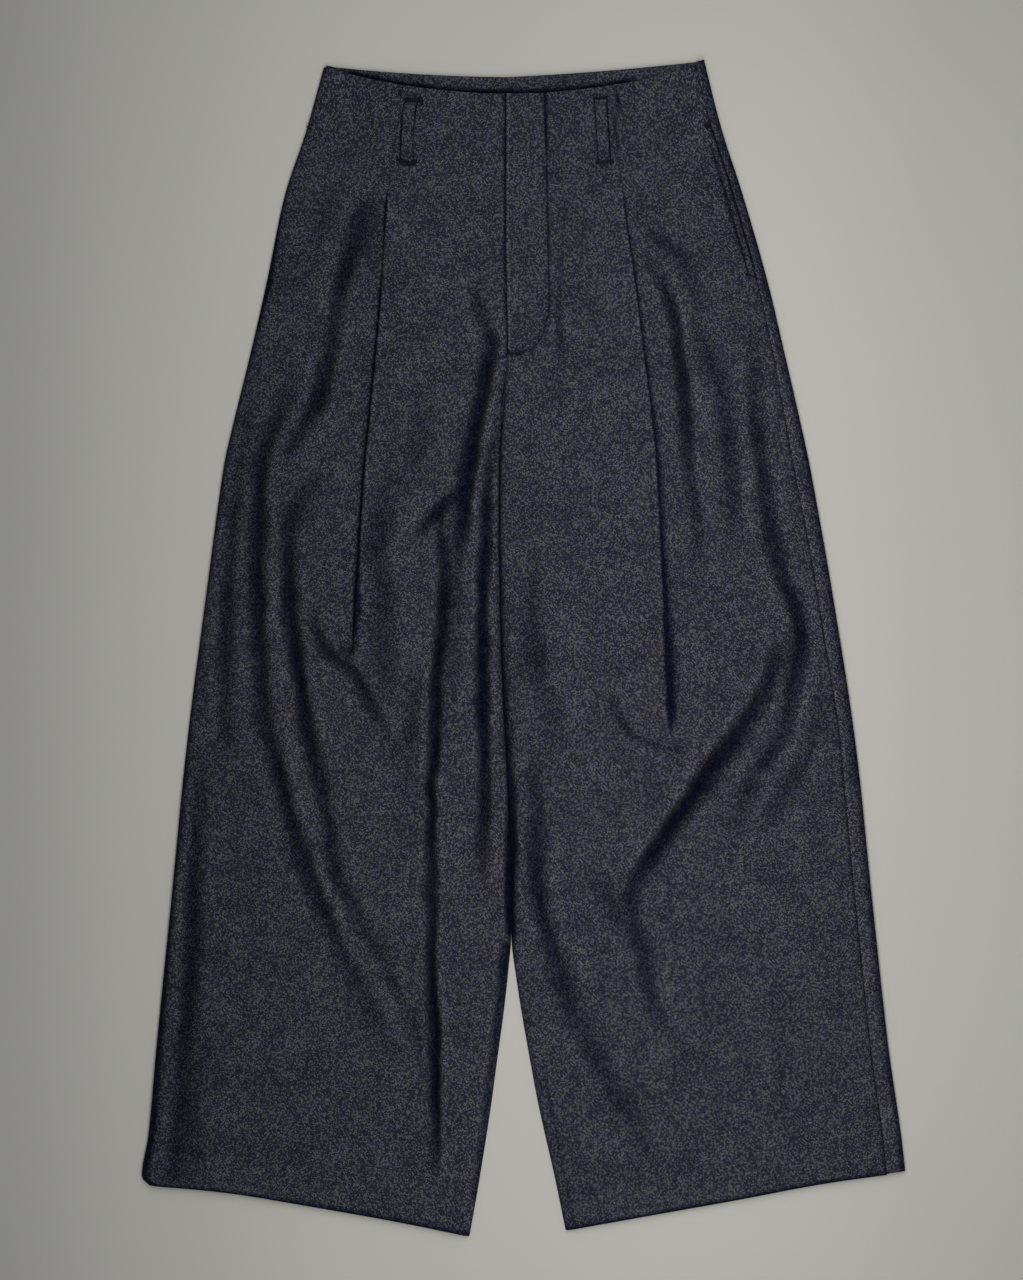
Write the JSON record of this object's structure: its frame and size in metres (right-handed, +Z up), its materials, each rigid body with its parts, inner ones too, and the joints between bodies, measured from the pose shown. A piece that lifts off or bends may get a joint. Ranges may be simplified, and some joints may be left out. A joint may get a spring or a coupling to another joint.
{
  "type": "pleated wide-leg trousers",
  "caption": "Trousers laid flat, front side up, with deep open pleats, a faced high waist, belt loops and wide straight legs.",
  "frame": {"origin": "on the floor, below the middle of the garment's outline as it lies", "axes": "+Y towards the waist, +X to the wearer's left, +Z up from the floor"},
  "size_m": [0.7034, 1.0791, 0.0172],
  "materials": {
    "melange_twill": "matte navy-grey wool twill, melange"
  },
  "bodies": {
    "root": {"front_right": "melange_twill", "front_left": "melange_twill", "back_right": "melange_twill", "back_left": "melange_twill", "waist_facing_back": "melange_twill", "loop_front_right": "melange_twill", "loop_front_left": "melange_twill", "loop_back_right": "melange_twill", "loop_back_centre": "melange_twill", "loop_back_left": "melange_twill", "pocket_facing_right": "melange_twill", "pocket_facing_left": "melange_twill"}
  },
  "joints": []
}
